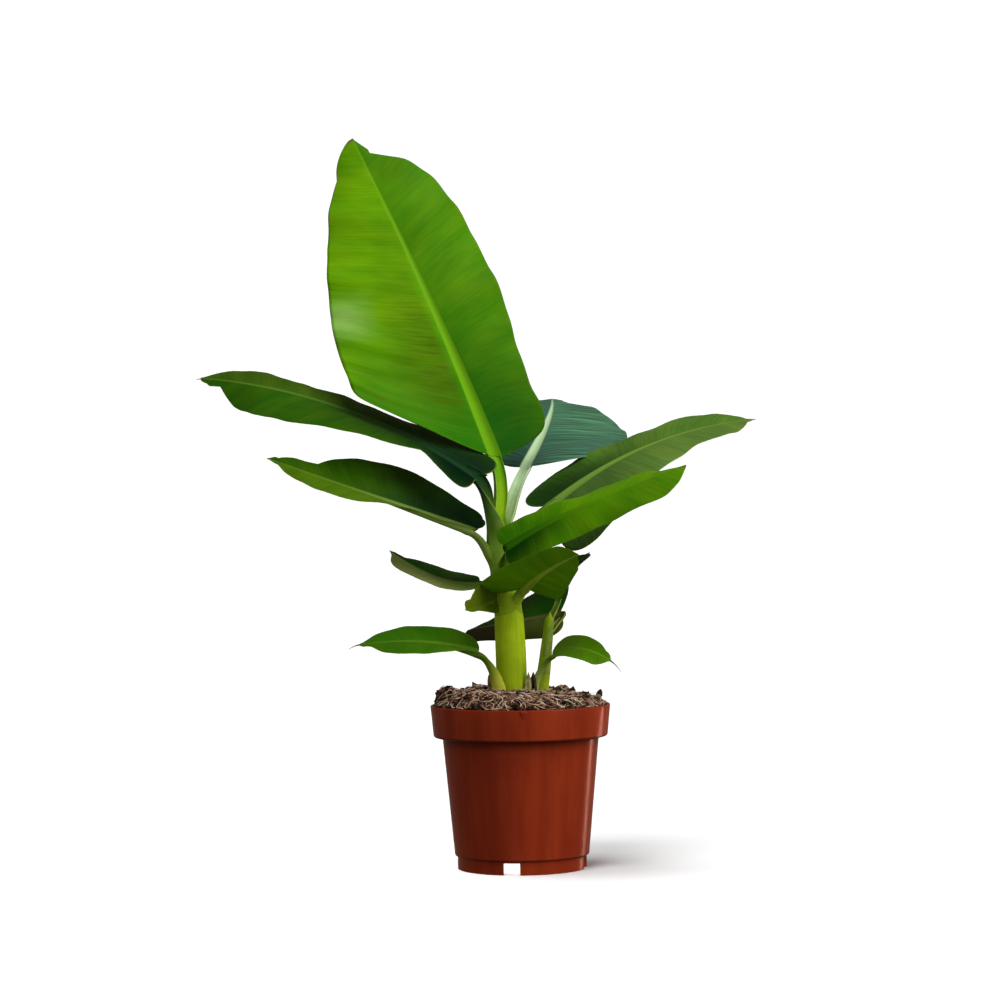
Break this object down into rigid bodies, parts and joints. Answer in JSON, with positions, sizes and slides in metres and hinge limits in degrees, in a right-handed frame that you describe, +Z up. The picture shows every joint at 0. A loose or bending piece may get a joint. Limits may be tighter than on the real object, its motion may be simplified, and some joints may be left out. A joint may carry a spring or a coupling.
{
  "type": "potted banana plant",
  "caption": "Leafy young banana plant with broad paddle-shaped leaves on arching stalks and a small offshoot, rooted in a round tapered nursery pot filled with coarse potting mix.",
  "frame": {"origin": "on the ground, under the middle of the plant's overall box; the pot stands a little to the right of it and in front of it", "axes": "+Z up, +X to the right as the picture shows the plant, +Y away from the viewer"},
  "size_m": [0.3746, 0.2804, 0.4999],
  "materials": {
    "pot": "satin",
    "soil": "matte",
    "stem": "satin",
    "stalk": "satin",
    "leaf": "satin"
  },
  "bodies": {
    "root": {"pot": "pot", "soil": "soil", "main_stem": "stem", "offshoot_stem": "stem", "leaf_top_stalk": "stalk", "leaf_top_blade": "leaf", "leaf_upper_left_stalk": "stalk", "leaf_upper_left_blade": "leaf", "leaf_upper_right_stalk": "stalk", "leaf_upper_right_blade": "leaf", "leaf_back_stalk": "stalk", "leaf_back_blade": "leaf", "leaf_mid_left_stalk": "stalk", "leaf_mid_left_blade": "leaf", "leaf_mid_right_stalk": "stalk", "leaf_mid_right_blade": "leaf", "leaf_front_stalk": "stalk", "leaf_front_blade": "leaf", "leaf_front_left_stalk": "stalk", "leaf_front_left_blade": "leaf", "leaf_low_left_stalk": "stalk", "leaf_low_left_blade": "leaf", "leaf_bottom_left_stalk": "stalk", "leaf_bottom_left_blade": "leaf", "offshoot_leaf_back_stalk": "stalk", "offshoot_leaf_back_blade": "leaf", "offshoot_leaf_right_stalk": "stalk", "offshoot_leaf_right_blade": "leaf", "offshoot_leaf_top_stalk": "stalk", "offshoot_leaf_top_blade": "leaf"}
  },
  "joints": []
}
